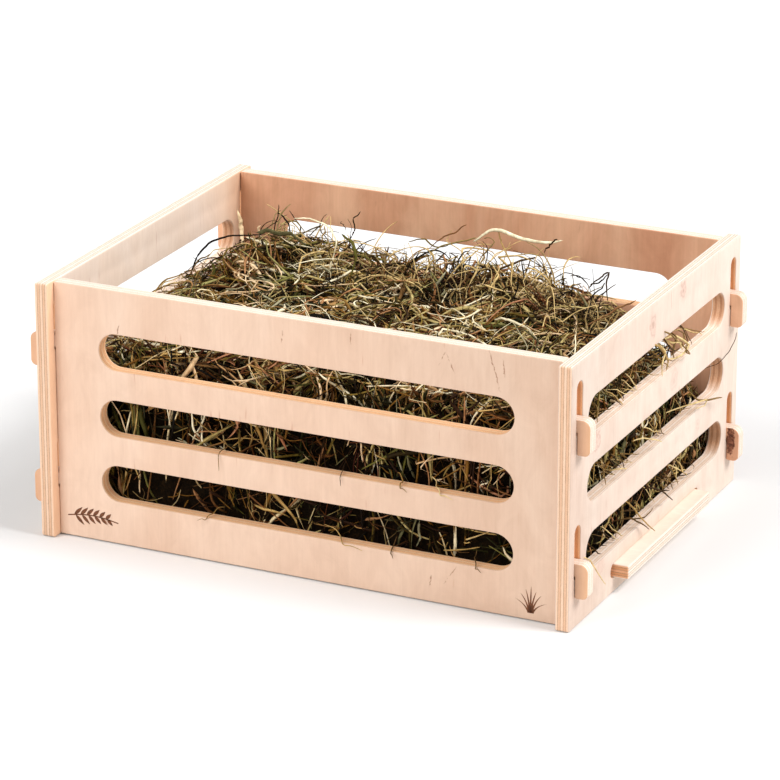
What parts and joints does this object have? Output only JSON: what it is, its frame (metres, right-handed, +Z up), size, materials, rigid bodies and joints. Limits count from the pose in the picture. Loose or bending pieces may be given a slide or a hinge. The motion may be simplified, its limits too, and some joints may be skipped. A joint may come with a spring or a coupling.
{
  "type": "hay rack feeder",
  "caption": "Open-topped plywood hay box with level feeding slots on all four sides, hooked together without fasteners and filled with hay.",
  "frame": {"origin": "on the surface the feeder stands on, under the middle of the feeder", "axes": "+X along the feeder's length, +Y from front to back, +Z up"},
  "size_m": [0.379, 0.276, 0.168],
  "materials": {
    "birch_ends": "sanded pale birch plywood",
    "birch_front": "sanded birch plywood",
    "birch_back": "sanded birch plywood",
    "birch_floor": "sanded birch plywood",
    "hay": "dry meadow hay, matt"
  },
  "bodies": {
    "frame": {"left_end_panel": "birch_ends", "right_end_panel": "birch_ends", "floor_panel": "birch_floor"},
    "front": {"front_panel": "birch_front"},
    "back": {"back_panel": "birch_back"},
    "filling": {"hay": "hay"}
  },
  "joints": [
    {"name": "front_panel_lift", "type": "slide", "parent": "frame", "child": "front", "axis": [0, 0, 1], "range_m": [0, 0.018]},
    {"name": "back_panel_lift", "type": "slide", "parent": "frame", "child": "back", "axis": [0, 0, 1], "range_m": [0, 0.018]},
    {"name": "hay_lift", "type": "slide", "parent": "frame", "child": "filling", "axis": [0, 0, 1], "range_m": [0, 0.16]}
  ]
}
